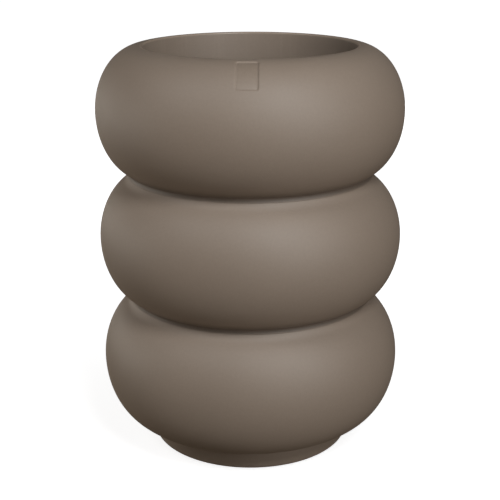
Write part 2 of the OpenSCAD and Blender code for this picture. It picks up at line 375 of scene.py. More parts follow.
def flared(radius, low, high, flare):
    """Section of a bar that widens past both faces that it cuts through, to break the hole's rims."""
    out = radius + flare + 1 * MM
    return np.array([(0, low - 1 * MM), (out, low - 1 * MM), (radius, low + flare),
                     (radius, high - flare), (out, high + 1 * MM), (0, high + 1 * MM)])


# Geometry trees

def socket_id(tree, name):
    return next(i.identifier for i in tree.interface.items_tree if i.name == name)


def new_tree(name, inputs):
    """An empty geometry tree with a geometry in and out and the named inputs."""
    nodes = bpy.data.node_groups.new(name, "GeometryNodeTree")
    nodes.interface.new_socket("Geometry", in_out="INPUT", socket_type="NodeSocketGeometry")
    nodes.interface.new_socket("Geometry", in_out="OUTPUT", socket_type="NodeSocketGeometry")
    for label, kind in inputs.items():
        nodes.interface.new_socket(label, in_out="INPUT", socket_type="NodeSocket" + kind)
    tree = Tree(nodes)
    return tree, tree.add("NodeGroupInput")


def close_tree(tree, geometry, material):
    """Ends a geometry tree: the instances made real, smooth faces, and the material set."""
    geometry = tree.add("GeometryNodeRealizeInstances", None, {"Geometry": geometry})
    geometry = tree.add("GeometryNodeSetShadeSmooth", None, {"Geometry": geometry})
    geometry = tree.add("GeometryNodeSetMaterial", None, {"Geometry": geometry, "Material": material})
    tree.add("NodeGroupOutput", None, {"Geometry": geometry})
    return tree.nodes


def turning_tree():
    """Turns a section, points of radius along X and height along Z, about the Z axis. Columns is the
    number of steps round, and Crowding moves them towards the side that faces -Y."""
    tree, given = new_tree("turned", {"Columns": "Int", "Crowding": "Float", "Material": "Material"})
    section = given.out("Geometry")
    rows = tree.add("GeometryNodeAttributeDomainSize", {"component": "MESH"}, {"Geometry": section})
    grid = tree.add("GeometryNodeMeshGrid", None, {
        "Size X": 1.0, "Size Y": 1.0, "Vertices X": given.out("Columns") + 1, "Vertices Y": rows})
    place = tree.add("ShaderNodeSeparateXYZ", None, {0: tree.add("GeometryNodeInputPosition")})
    row = (place.out("Y") + 0.5) * (rows - 1) + 0.5
    point = tree.add("GeometryNodeSampleIndex", {"data_type": "FLOAT_VECTOR", "domain": "POINT"}, {
        "Geometry": section, "Value": tree.add("GeometryNodeInputPosition"), "Index": row.math("FLOOR")})
    point = tree.add("ShaderNodeSeparateXYZ", None, {0: point})
    turn = (place.out("X") + 0.5) * math.tau
    angle = turn - given.out("Crowding") * turn.math("SINE")
    spot = tree.add("ShaderNodeCombineXYZ", None, {
        "X": point.out("X") * angle.math("SINE"), "Y": point.out("X") * angle.math("COSINE") * -1.0,
        "Z": point.out("Z")})
    body = tree.add("GeometryNodeSetPosition", None, {"Geometry": grid, "Position": spot})
    body = tree.add("GeometryNodeMergeByDistance", None, {"Geometry": body, "Distance": 0.002 * MM})
    return close_tree(tree, body, given.out("Material"))


def dot(tree, first, second):
    return tree.add("ShaderNodeVectorMath", {"operation": "DOT_PRODUCT"}, {0: first, 1: second})


def moved(tree, given, shift):
    """The tree's own geometry with its points moved by a vector."""
    return tree.add("GeometryNodeSetPosition", None, {"Geometry": given.out("Geometry"), "Offset": shift})


def recess_tree():
    """Presses a rounded rectangle with sloping sides into the face that looks along Out. Middle is
    the rectangle's middle and Up its upright direction; it lies in the plane of X and Up."""
    tree, given = new_tree("pressed_recess", {
        "Middle": "Vector", "Up": "Vector", "Out": "Vector", "Width": "Float", "Height": "Float",
        "Corner": "Float", "Depth": "Float", "Slope": "Float", "Material": "Material"})
    away = tree.add("ShaderNodeVectorMath", {"operation": "SUBTRACT"},
                    {0: tree.add("GeometryNodeInputPosition"), 1: given.out("Middle")})
    across = abs(tree.add("ShaderNodeSeparateXYZ", None, {0: away}))
    up = abs(dot(tree, away, given.out("Up")))
    corner = given.out("Corner")
    over_x = across - given.out("Width") / 2 + corner
    over_y = up - given.out("Height") / 2 + corner
    round_x, round_y = over_x.math("MAXIMUM", 0.0), over_y.math("MAXIMUM", 0.0)
    outside = (round_x * round_x + round_y * round_y).math("SQRT")
    inside = over_x.math("MAXIMUM", over_y).math("MINIMUM", 0.0)
    sunk = tree.smooth(outside + inside - corner, 0.0, given.out("Slope") * -1.0) * given.out("Depth")
    normal = tree.add("GeometryNodeInputNormal")
    faces_out = dot(tree, normal, given.out("Out")).math("GREATER_THAN", 0.4)
    shift = tree.add("ShaderNodeVectorMath", {"operation": "SCALE"}, {
        0: normal, "Scale": sunk * faces_out * -1.0})
    return close_tree(tree, moved(tree, given, shift), given.out("Material"))


def thread_tree():
    """Raises a right-handed thread on the upright face at a radius, from Low to High. Rise is
    counted outwards, so it is below 0 in a hole, and Shift moves the thread along by whole turns."""
    tree, given = new_tree("threaded", {
        "Radius": "Float", "Low": "Float", "High": "Float", "Rise": "Float", "Pitch": "Float",
        "Shift": "Float", "Material": "Material"})
    place = tree.add("ShaderNodeSeparateXYZ", None, {0: tree.add("GeometryNodeInputPosition")})
    x, y, z = place.out("X"), place.out("Y"), place.out("Z")
    radius = (x * x + y * y).math("SQRT")
    turns = z / given.out("Pitch") - y.math("ARCTAN2", x) / math.tau + given.out("Shift")
    ridge = tree.smooth(abs(turns.math("FRACT") - 0.5) * 2, 0.45, 0.75)
    fade = 2 * MM
    run_in = tree.smooth(z - given.out("Low"), 0.0, fade) * tree.smooth(given.out("High") - z, 0.0, fade)
    on_face = abs(radius - given.out("Radius")).math("LESS_THAN", 0.05 * MM)
    growth = given.out("Rise") * ridge * run_in * on_face / radius.math("MAXIMUM", 1 * MM)
    shift = tree.add("ShaderNodeCombineXYZ", None, {"X": x * growth, "Y": y * growth})
    return close_tree(tree, moved(tree, given, shift), given.out("Material"))


def copies(tree, given, spots, turn):
    """A copy of the tree's own geometry at each of Count spots, turned by a rotation."""
    points = tree.add("GeometryNodePoints", None, {"Count": given.out("Count"), "Position": spots})
    return tree.add("GeometryNodeInstanceOnPoints", None, {
        "Points": points, "Instance": given.out("Geometry"), "Rotation": turn})


def ring_pattern_tree():
    """Sets copies out in rings round the Z axis: 6 in the first ring, 12 in the second, and so on."""
    tree, given = new_tree("ring_pattern", {"Count": "Int", "Pitch": "Float", "Material": "Material"})
    index = tree.add("GeometryNodeInputIndex")
    ring = (((index * (4 / 3) + 1.001).math("SQRT") + 1) / 2).math("FLOOR")
    angle = (index - ring * (ring - 1) * 3) / ring * (math.tau / 6)
    away = ring * given.out("Pitch")
    spot = tree.add("ShaderNodeCombineXYZ", None, {
        "X": away * angle.math("COSINE"), "Y": away * angle.math("SINE")})
    return close_tree(tree, copies(tree, given, spot, (0, 0, 0)), given.out("Material"))


def round_pattern_tree():
    """Sets copies out evenly on one circle round the Z axis, each turned to face outwards."""
    tree, given = new_tree("round_pattern", {
        "Count": "Int", "Radius": "Float", "Turn": "Float", "Material": "Material"})
    angle = tree.add("GeometryNodeInputIndex") * math.tau / given.out("Count") + given.out("Turn")
    spot = tree.add("ShaderNodeCombineXYZ", None, {
        "X": given.out("Radius") * angle.math("COSINE"), "Y": given.out("Radius") * angle.math("SINE")})
    facing = tree.add("ShaderNodeCombineXYZ", None, {"Z": angle})
    return close_tree(tree, copies(tree, given, spot, facing), given.out("Material"))


TURNING = turning_tree()
RECESS = recess_tree()
THREAD = thread_tree()
RING_PATTERN = ring_pattern_tree()
ROUND_PATTERN = round_pattern_tree()


# Making pieces

def new_object(name, vertices, edges=(), faces=()):
    mesh = bpy.data.meshes.new(name)
    mesh.from_pydata([tuple(v) for v in vertices], list(edges), list(faces))
    made = bpy.data.objects.new(name, mesh)
    bpy.context.scene.collection.objects.link(made)
    return made


def add_tree(piece, tree, material, **inputs):
    """Puts a geometry tree on a piece, with its inputs set by their sockets' identifiers."""
    modifier = piece.modifiers.new(tree.name, "NODES")
    modifier.node_group = tree
    modifier[socket_id(tree, "Material")] = material
    for name, value in inputs.items():
        modifier[socket_id(tree, name)] = value


def add_solid(piece, other, operation):
    """Joins another closed solid to a piece, or takes it out of the piece."""
    modifier = piece.modifiers.new(other.name, "BOOLEAN")
    modifier.operation = operation
    modifier.solver = "MANIFOLD"
    modifier.object = other


def settled(piece, *helpers):
    """The piece with its modifiers' result as its plain mesh, all of it in the piece's one
    material, and its helpers deleted."""
    bpy.context.view_layer.update()
    graph = bpy.context.evaluated_depsgraph_get()
    mesh = bpy.data.meshes.new_from_object(piece.evaluated_get(graph), depsgraph=graph)
    material = next(m for m in mesh.materials if m)
    mesh.materials.clear()
    mesh.materials.append(material)
    mesh.polygons.foreach_set("material_index", [0] * len(mesh.polygons))
    piece.modifiers.clear()
    piece.data = mesh
    for helper in helpers:
        bpy.data.objects.remove(helper)
    return piece


def crisp(piece, angle=35):
    """Keeps the edges that bend more than the angle sharp, and shades the flat faces flat."""
    piece.data.shade_smooth()
    piece.data.set_sharp_from_angle(angle=math.radians(angle))
    modifier = piece.modifiers.new("even", "WEIGHTED_NORMAL")
    modifier.keep_sharp = True
    return settled(piece)


def turned(name, section, material, columns=96, crowding=0.0):
    """A turned piece, its tree still live."""
    points = [(r, 0, z) for r, z in section]
    piece = new_object(name, points, [(i, i + 1) for i in range(len(points) - 1)])
    add_tree(piece, TURNING, material, Columns=columns, Crowding=crowding)
    return piece


def lofted(name, loops, material, ring=False):
    """Skins loops of as many points each. The last loop joins the first, or both ends are closed."""
    count, size = len(loops), len(loops[0])
    vertices = [point for loop in loops for point in loop]
    faces = []
    for i in range(count if ring else count - 1):
        a, b = i * size, (i + 1) % count * size
        faces += [(a + k, a + (k + 1) % size, b + (k + 1) % size, b + k) for k in range(size)]
    if not ring:
        faces += [tuple(range(size)), tuple((count - 1) * size + k for k in range(size))]
    piece = new_object(name, vertices, (), faces)
    work = bmesh.new()
    work.from_mesh(piece.data)
    bmesh.ops.recalc_face_normals(work, faces=work.faces)
    work.to_mesh(piece.data)
    work.free()
    piece.data.materials.append(material)
    piece.data.shade_smooth()
    return piece


def rounded_rectangle(width, height, radius, corner_steps=4, side_step=2.5 * MM):
    """Points round a rectangle with rounded corners, in a plane, close enough to bend with a wall."""
    points = []
    half_w, half_h = width / 2 - radius, height / 2 - radius
    for x, y, start in ((1, 1, 0), (-1, 1, 90), (-1, -1, 180), (1, -1, 270)):
        run = arc((x * half_w, y * half_h), radius, start, start + 90, 90 / corner_steps)
        if points:
            points += list(between(points[-1], run[0], side_step))
        points += list(run)
    return np.array(points + list(between(points[-1], points[0], side_step)))


def between(a, b, step):
    """Points between two points, neither of them included."""
    parts = max(1, round(np.linalg.norm(b - a) / step))
    return np.array([a + (b - a) * k / parts for k in range(1, parts)]).reshape(-1, 2)


def hand_over(piece, body, slot, *nodes):
    """Lets a finished piece ride its body in place of its CAD nodes."""
    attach(piece, body)
    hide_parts(*nodes)


# Where the badge lies on the shoulder

BADGE_OUT = Vector((0, -math.cos(BADGE_TILT), math.sin(BADGE_TILT)))
BADGE_UP = Vector((0, math.sin(BADGE_TILT), math.cos(BADGE_TILT)))
BADGE_MIDDLE = Vector((0, -(UPPER_POLE_R + UPPER_BULGE * math.cos(BADGE_ANGLE)),
                       ring_z(2) + RING_H / 2 * math.sin(BADGE_ANGLE)))
ON_BADGE = Matrix.Translation(BADGE_MIDDLE) @ Matrix.Rotation(math.pi / 2 - BADGE_TILT, 4, "X")


def on_shoulder(points, depth):
    """Where points of the badge's plane lie, moved square to it, at a depth under the shoulder."""
    across, up, out = Vector((1, 0, 0)), BADGE_UP, BADGE_OUT
    placed = []
    for u, v in points:
        low, high = -20 * MM, 10 * MM
        start = BADGE_MIDDLE + across * u + up * v
        while high - low > 0.0005 * MM:
            middle = (low + high) / 2
            spot = start + out * middle
            r = (math.hypot(spot.x, spot.y) - UPPER_POLE_R) / (UPPER_BULGE - depth)
            z = (spot.z - ring_z(2)) / (RING_H / 2 - depth)
            low, high = (middle, high) if r * r + z * z < 1 else (low, middle)
        placed.append(start + out * low)
    return placed


def shoulder_plate(name, width, height, radius, top, bottom, bevel, material):
    """A plate that follows the shoulder between two depths, with a bevelled edge on its face."""
    def small_loop(scale, depth):
        return on_shoulder(rounded_rectangle(width, height, radius) * scale, depth)

    inner = (0.04, 0.2, 0.36, 0.52, 0.68, 0.82, 0.93)
    loops = [small_loop(s, top) for s in (inner if bevel else (0.04, 0.5))]
    rim = small_loop(1 - 2 * bevel / width, top)
    loops += [rim, small_loop(1.0, top + bevel), small_loop(1.0, bottom)]
    loops += [small_loop(s, bottom) for s in inner[::-1]]
    return lofted(name, loops, material)


# The shell's pieces

def top_bulge(material):
    """The top ring with its lip, the mouth's wall, the liner's ledge and the badge's recess."""
    lip_angle = math.degrees(math.acos((MOUTH_R + LIP_R - UPPER_POLE_R) / UPPER_BULGE))
    collar_r = MOUTH_R + WALL
    collar_angle = math.degrees(math.acos((collar_r - UPPER_POLE_R) / (UPPER_BULGE - WALL)))
    inside = side(2, UNDERSIDE_ANGLE, collar_angle, WALL, 7.5)[::-1]
    ledge = corners([(MOUTH_R, RIM_Z - LIP_R), (MOUTH_R, LEDGE_Z), (MOUTH_R - LEDGE_W, LEDGE_Z),
                     (MOUTH_R - LEDGE_W, LEDGE_Z - WALL), (collar_r, LEDGE_Z - WALL), inside[0]], 1 * MM)
    near_recess, recess_from, recess_to = 30, 42, 76
    section = joined(
        half_side(2, 0, near_recess), half_side(2, near_recess, recess_from, step=1.5),
        half_side(2, recess_from, recess_to, step=0.4), half_side(2, recess_to, lip_angle, step=0.8),
        arc((MOUTH_R + LIP_R, RIM_Z - LIP_R), LIP_R, 90, 180, 10), with_ends(ledge), inside,
        above_joint(1), half_side(2, UNDERSIDE_ANGLE, 0))
    shell = turned("top_bulge_shell", section, material, columns=320, crowding=0.85)
    add_tree(shell, RECESS, material, Middle=BADGE_MIDDLE + BADGE_UP * (RECESS_H - BADGE_H) / 2,
             Up=BADGE_UP, Out=BADGE_OUT, Width=RECESS_W + 2 * RECESS_SLOPE,
             Height=RECESS_H + 2 * RECESS_SLOPE, Corner=BADGE_CORNER_R + RECESS_SLOPE,
             Depth=BADGE_DEPTH, Slope=RECESS_SLOPE)
    gap = 0.1 * MM
    pocket = shoulder_plate("pocket_cutter", BADGE_W + gap, BADGE_H + gap, BADGE_CORNER_R + gap / 2,
                            -3 * MM, BADGE_DEPTH + BADGE_T, 0.0, material)
    add_solid(shell, pocket, "DIFFERENCE")
    holes = []
    for side_of_middle in (-1, 1):
        hole = settled(turned("pin_cutter", straight(PIN_R + gap / 2, -PIN_END, 0), material, 32))
        hole.data.transform(ON_BADGE @ Matrix.Translation((0, side_of_middle * PIN_SPREAD, 0)))
        add_solid(shell, hole, "DIFFERENCE")
        holes.append(hole)
    return crisp(settled(shell, pocket, *holes), 50)


def middle_bulge(material):
    inside = side(1, UNDERSIDE_ANGLE, VALLEY_ANGLE, WALL, 7.5)[::-1]
    section = joined(half_side(1, 0, VALLEY_ANGLE), below_joint(1), inside, above_joint(0),
                     half_side(1, UNDERSIDE_ANGLE, 0))
    return settled(turned("middle_bulge_shell", section, material, 192))


def low_bulge(material):
    rebate_r = FOOT_R + FOOT_FLARE - WALL + TONGUE_T + BOND_GAP
    inside = side(0, -90, VALLEY_ANGLE, WALL, 7.5)[::-1]
    rebate = corners([inside[-1], (rebate_r, FOOT_H + WALL), (rebate_r, FOOT_H), (LOWER_POLE_R, FOOT_H)],
                     0.4 * MM)
    section = joined(half_side(0, 0, VALLEY_ANGLE), below_joint(0), inside, rebate, half_side(0, -90, 0))
    return settled(turned("low_bulge_shell", section, material, 192))


def round_foot(material):
    """The foot with its floor, the plug's hub and threaded hole, and the pockets for the pads."""
    top_r = FOOT_R + FOOT_FLARE
    in_r, top = top_r - WALL, FOOT_H + WALL - BOND_GAP
    start = ((FOOT_R + top_r) / 2, 20 * MM)
    edge = arc((FOOT_R - FOOT_EDGE_R, BASE_Z + FOOT_EDGE_R), FOOT_EDGE_R, -90, 0, 10)
    inner = corners([
        start, (top_r, FOOT_H), (in_r + TONGUE_T, FOOT_H), (in_r + TONGUE_T, top), (in_r, top),
        (FOOT_R - WALL, FLOOR_Z), (HUB_R, FLOOR_Z), (HUB_R, HUB_Z), (BOSS_R, HUB_Z), (BOSS_R, BOSS_Z),
        (PLUG_HOLE_R, BOSS_Z), (PLUG_HOLE_R, HEAD_RECESS_Z), (HEAD_RECESS_R, HEAD_RECESS_Z),
        (HEAD_RECESS_R, BASE_Z), edge[0]],
        np.array([0.8, 0.4, 0.4, 0.4, 3, 2, 1, 2, 0.8, 0.5, 0.5, 0.8, 0.8]) * MM)
    section = close_rows(joined(with_ends(inner), edge, [start]), PLUG_HOLE_R, 0.35 * MM)
    foot = turned("round_foot", section, material, 192)
    add_tree(foot, THREAD, material, Radius=PLUG_HOLE_R, Low=HEAD_RECESS_Z + 0.6 * MM,
             High=BOSS_Z - 0.6 * MM, Rise=-HOLE_THREAD_RISE, Pitch=THREAD_PITCH, Shift=0.5)
    pockets = turned("pocket_cutters", straight(PAD_POCKET_R, -1 * MM, PAD_H), material, 64)
    add_tree(pockets, ROUND_PATTERN, material, Count=4, Radius=PAD_CIRCLE_R, Turn=0.0)
    add_solid(foot, pockets, "DIFFERENCE")
    return crisp(settled(foot, pockets))


def tag_plate(material):
    """The bare plate in the recess, with two barbed pins through the wall."""
    plate = shoulder_plate("bare_tag_plate", BADGE_W, BADGE_H, BADGE_CORNER_R, BADGE_DEPTH,
                           BADGE_DEPTH + BADGE_T - 0.05 * MM, 0.12 * MM, material)
    pins = []
    barbs = [(PIN_R - k % 2 * 0.25 * MM, -NUT_DEPTH + 1.2 * MM - k * 0.6 * MM) for k in range(6)]
    for side_of_middle in (-1, 1):
        inside_plate = on_shoulder([(0, side_of_middle * PIN_SPREAD)], BADGE_DEPTH + BADGE_T / 2)[0]
        top = (inside_plate - BADGE_MIDDLE).dot(BADGE_OUT)
        outline = joined([(0, -PIN_END), (PIN_R * 0.6, -PIN_END)], barbs[::-1], [(PIN_R, top), (0, top)])
        pin = settled(turned("tag_pin", outline, material, 32))
        pin.data.transform(ON_BADGE @ Matrix.Translation((0, side_of_middle * PIN_SPREAD, 0)))
        add_solid(plate, pin, "UNION")
        pins.append(pin)
    return crisp(settled(plate, *pins))


def pin_nuts(material):
    """Two spring-steel nuts, each a dished disc whose slots leave four teeth round the pin."""
    outline = with_ends(corners([
        (5, 0.2), (5, 0.5), (3.4, 0.62), (2.02, 0.8), (2.02, 0.45), (3.4, 0.3), (5, 0), (5, 0.2)],
        0.08, 2) * MM, 1 * MM)
    slot = ((-1.2, -0.3), (1.2, -0.3), (1.2, 0.3), (-1.2, 0.3))
    nuts = []
    for side_of_middle in (-1, 1):
        nut = turned("tag_pin_nut", outline, material, 64)
        slots = lofted("slot_cutter", [[(x * MM, y * MM, z * MM) for x, y in slot] for z in (-2, 2)],
                       material)
        add_tree(slots, ROUND_PATTERN, material, Count=4, Radius=2.4 * MM, Turn=math.pi / 4)
        add_solid(nut, slots, "DIFFERENCE")
        settled(nut, slots)
        place = (0, side_of_middle * PIN_SPREAD, -NUT_DEPTH - 0.8 * MM)
        nut.data.transform(ON_BADGE @ Matrix.Translation(place))
        nuts.append(nut)
    vertices, faces = [], []
    for nut in nuts:
        faces += [tuple(i + len(vertices) for i in p.vertices) for p in nut.data.polygons]
        vertices += [v.co.copy() for v in nut.data.vertices]
        bpy.data.objects.remove(nut)
    pair = new_object("tag_pin_nuts", vertices, (), faces)
    pair.data.materials.append(material)
    return crisp(pair, 30)


def foot_rubber(name, turn, material):
    """A pad with rounded edges and three grooves in its tread."""
    tread = [(0, 0)]
    for r in (3, 6, 9):
        tread += [(r - 0.6, 0), (r - 0.3, 0.6), (r + 0.3, 0.6), (r + 0.6, 0)]
    rim = PAD_POCKET_R / MM - 0.1
    outline = joined([(0, 0)], corners(tread[1:] + [(rim, 0), (rim, PAD_H / MM), (0, PAD_H / MM)],
                                       [0.15] * (len(tread) - 2) + [0.7, 0.4], 2)) * MM
    pad = settled(turned(name, outline, material, 64))
    pad.data.transform(Matrix.Rotation(turn, 4, "Z") @ Matrix.Translation((PAD_CIRCLE_R, 0, 0)))
    return pad


# The plug, its seal, the liner, the handles and the grid

def screw_plug(material):
    head_z, head_top = plug_low.z, plug_low.z + PLUG_HEAD_T
    head_r = plug_high.x
    outline = corners([(0, head_z), (head_r, head_z), (head_r, head_top), (THREAD_ROOT_R, head_top),
                       (THREAD_ROOT_R, plug_high.z), (0, plug_high.z)],
                      np.array([1.2, 0.8, 0.5, 1.2]) * MM)
    plug = turned("screw_plug", close_rows(with_ends(outline), THREAD_ROOT_R, 0.3 * MM), material, 128)
    add_tree(plug, THREAD, material, Radius=THREAD_ROOT_R, Low=head_top + 0.8 * MM,
             High=plug_high.z - 1.2 * MM, Rise=THREAD_RISE, Pitch=THREAD_PITCH, Shift=0.0)
    levels = [(26, 3, 4.5), (26, 3, 2.9), (27, 4, 2.4), (27, 4, 1.0)]
    slot = lofted("coin_slot_cutter", [
        [(u, v, z * MM) for u, v in rounded_rectangle(length * MM, width * MM, 0.9 * MM, 3, 30 * MM)]
        for length, width, z in levels], material)
    add_solid(plug, slot, "DIFFERENCE")
    return crisp(settled(plug, slot), 40)


def plug_gasket(material):
    in_r, out_r, middle = 12.2 * MM, seal_high.x, (seal_low.z + seal_high.z) / 2
    outline = corners([(out_r, middle), (out_r, seal_high.z), (in_r, seal_high.z), (in_r, seal_low.z),
                       (out_r, seal_low.z), (out_r, middle)], 0.35 * MM)
    return settled(turned("plug_gasket", outline, material, 96))


def liner_r(z):
    """The liner's inside radius at a height."""
    return LINER_MOUTH_R - (FLANGE_Z - z) * LINER_SLOPE


def beaded_side():
    """The liner's outside going up, with rounded beads round it."""
    points = [(liner_r(liner_low.z) + LINER_WALL, liner_low.z)]
    for middle in BEAD_HEIGHTS:
        for share in np.linspace(-1, 1, 9):
            z = middle + share * BEAD_W / 2
            points.append((liner_r(z) + LINER_WALL + BEAD_RISE * math.cos(share * math.pi / 2) ** 2, z))
    return points + [(liner_r(FLANGE_Z) + LINER_WALL, FLANGE_Z)]


def liner_lug(x_side, y_side, material):
    """A lug on the flange with a round top, a flared base and the hole for a handle's pivot."""
    angles = np.radians(np.arange(0, 360, 7.5) + 3.75)
    depth = PIVOT[1] - (FLANGE_Z + FLANGE_T) + 1 * MM

    def outer(shrink):
        points = []
        for a in angles:
            c, s = math.cos(a), math.sin(a)
            reach = LUG_HALF_W if s >= 0 else min(LUG_HALF_W / max(abs(c), 1e-6), depth / max(-s, 1e-6))
            flare = 3.2 * MM * max(0.0, -s * reach / depth - 0.3) ** 2
            z = s * reach - (shrink * s if s > 0 else 0)
            points.append((c * (reach - shrink) + math.copysign(flare, c), z))
        return points

    def inner(radius):
        return [(radius * math.cos(a), radius * math.sin(a)) for a in angles]

    hole, rim, edge = PIVOT_R + 0.06 * MM, 0.3 * MM, 0.5 * MM
    profile = [(inner(hole), rim), (inner(hole + rim), 0), (outer(edge), 0), (outer(0), edge),
               (outer(0), LUG_T - edge), (outer(edge), LUG_T), (inner(hole + rim), LUG_T),
               (inner(hole), LUG_T - rim)]
    loops = [[(x_side * (PIVOT[0] + x), y_side * (LUG_Y + y), PIVOT[1] + z) for x, z in points]
             for points, y in profile]
    return lofted("liner_lug", loops, material, ring=True)


def soil_bucket(material):
    """The liner with its beads, drain holes, flange and the four lugs."""
    low, flange_top, flange_r = liner_low.z, FLANGE_Z + FLANGE_T, liner_high.x
    outside = beaded_side()
    bottom = corners([(0, low), outside[0], outside[1]], 3 * MM)
    top = corners([outside[-2], outside[-1], (flange_r, FLANGE_Z), (flange_r, flange_top),
                   (liner_r(flange_top), flange_top), (liner_r(low + LINER_WALL), low + LINER_WALL),
                   (0, low + LINER_WALL)], np.array([1, 0.9, 0.9, 1.2, 2.5]) * MM)
    section = joined(with_ends(bottom), outside[1:-1], with_ends(top))
    bucket = turned("soil_bucket", section, material, 192)
    holes = turned("drain_cutters", flared(DRAIN_HOLE_R, low, low + LINER_WALL, HOLE_CHAMFER), material, 32)
    add_tree(holes, RING_PATTERN, material, Count=DRAIN_HOLES, Pitch=DRAIN_HOLE_PITCH)
    add_solid(bucket, holes, "DIFFERENCE")
    lugs = [liner_lug(x, y, material) for x in (-1, 1) for y in (-1, 1)]
    for lug in lugs:
        add_solid(bucket, lug, "UNION")
    return crisp(settled(bucket, holes, *lugs), 40)


def bail(name, x_side, material):
    """A curved handle: two arms with pivot pins, and a wider grip with fine ribs between them."""
    start = np.array([PIVOT[0], HANDLE_ARM_Y])
    bend = np.array([math.sqrt(HANDLE_R ** 2 - HANDLE_ARM_Y ** 2), HANDLE_ARM_Y])
    curve = arc((0, 0), HANDLE_R, 46, 0, 0.75)
    arm = corners([start, bend, curve[0]], 9 * MM, 8)
    half = joined([start + (bend - start) * k / 4 for k in range(2)], arm[1:], curve)
    path = np.concatenate([half, (half * (1, -1))[::-1][1:]])
    along = np.gradient(path, axis=0)
    along /= np.linalg.norm(along, axis=1)[:, None]
    loops = []
    cross = rounded_rectangle(1, 1, 0.24, 3, 10)
    grip_end, rib_end, rib_step = 47, 30, 3

    def add_loop(point, direction, width, height):
        across = np.array([direction[1], -direction[0]])
        loops.append([(x_side * (point[0] + across[0] * u * width), point[1] + across[1] * u * width,
                       PIVOT[1] + v * height) for u, v in cross])

    def add_end(point, direction, outward, angles):
        for bow in (math.radians(angle) for angle in angles):
            add_loop(point + direction * outward * HANDLE_T / 2 * math.sin(bow), direction, ARM_W,
                     HANDLE_T * math.cos(bow))

    end_angles = (12, 30, 50, 70, 88)
    add_end(path[0], along[0], -1, end_angles[::-1])
    for point, direction in zip(path, along):
        spread = math.degrees(abs(math.atan2(point[1], point[0])))
        wide = float(np.clip((grip_end - spread) / 5, 0, 1))
        ribbed = float(np.clip((rib_end - spread) / 2, 0, 1))
        ribs = 0.35 * MM * ribbed * (0.5 - 0.5 * math.cos(math.tau * spread / rib_step))
        width = ARM_W + (GRIP_W - ARM_W) * wide * wide * (3 - 2 * wide)
        add_loop(point, direction, width, HANDLE_T - ribs)
    add_end(path[-1], along[-1], 1, end_angles)
    handle = lofted(name, loops, material)
    pins = []
    pin_r = PIVOT_R - 0.02 * MM
    pin_outline = corners([(0, -1 * MM), (pin_r, -1 * MM), (pin_r, 7.8 * MM), (0, 7.8 * MM)], 0.5 * MM)
    for y_side in (-1, 1):
        pin = settled(turned("pivot_pin", with_ends(pin_outline), material, 48))
        pin.data.transform(Matrix.Translation((x_side * PIVOT[0], y_side * HANDLE_ARM_Y, PIVOT[1]))
                           @ Matrix.Rotation(-y_side * math.pi / 2, 4, "X"))
        add_solid(handle, pin, "UNION")
        pins.append(pin)
    return crisp(settled(handle, *pins), 60)


def drain_disc(material):
    """The grid with its chamfered holes and six tapered legs."""
    low, top, radius = grid_high.z - GRID_T, grid_high.z, grid_high.x
    outline = corners([(0, low), (radius, low), (radius, top), (0, top)], 0.9 * MM)
    disc = turned("drain_disc", with_ends(outline), material, 192)
    pitch = (radius - GRID_BORDER) / GRID_RINGS
    legs_circle_r = (GRID_RINGS - 0.5) * pitch
    leg = corners([(0, grid_low.z), (3.3 * MM, grid_low.z), (4 * MM, low - 2 * MM),
                   (5 * MM, low + 1 * MM), (0, low + 1 * MM)], np.array([0.8, 2, 0.1]) * MM)
    legs = turned("grid_legs", leg, material, 32)
    add_tree(legs, ROUND_PATTERN, material, Count=GRID_LEGS, Radius=legs_circle_r,
             Turn=math.pi / GRID_LEGS)
    add_solid(disc, legs, "UNION")
    holes = turned("grid_cutters", flared(GRID_HOLE_R, low, top, HOLE_CHAMFER), material, 32)
    add_tree(holes, RING_PATTERN, material, Count=GRID_HOLES, Pitch=pitch)
    add_solid(disc, holes, "DIFFERENCE")
    return crisp(settled(disc, legs, holes), 40)


# Finishes

def new_material(name):
    material = bpy.data.materials.new(name)
    material.use_nodes = True
    material.node_tree.nodes.clear()
    tree = Tree(material.node_tree)
    return material, tree, tree.add("ShaderNodeTexCoord").out("Object")


def scatter(tree, place, scale, detail=2.0, roughness=0.5):
    """Noise about 0, mostly between -0.5 and 0.5, over the piece's own coordinates."""
    return tree.add("ShaderNodeTexNoise", None, {
        "Vector": place, "Scale": scale, "Detail": detail, "Roughness": roughness}) * 2 - 1


def stretched(tree, place, x, y, z):
    return tree.add("ShaderNodeVectorMath", {"operation": "MULTIPLY"}, {0: place, 1: (x, y, z)})


def shaded(tree, colour, factor):
    """A plain colour times a factor that varies."""
    return tree.add("ShaderNodeVectorMath", {"operation": "SCALE"}, {0: colour, "Scale": factor})


def mixed(tree, factor, first, second):
    return tree.add("ShaderNodeMix", {"data_type": "RGBA"}, {"Factor": factor, "A": first, "B": second})


def close_material(tree, colour, roughness, height, relief, specular=0.5, metallic=0.0):
    """Ends a material: its colour, its roughness and its relief in metres."""
    bump = tree.add("ShaderNodeBump", None, {"Strength": 1.0, "Distance": relief, "Height": height})
    shader = tree.add("ShaderNodeBsdfPrincipled", None, {
        "Base Color": colour, "Roughness": roughness, "Specular IOR Level": specular,
        "Metallic": metallic, "Normal": bump})
    tree.add("ShaderNodeOutputMaterial", None, {"Surface": shader})


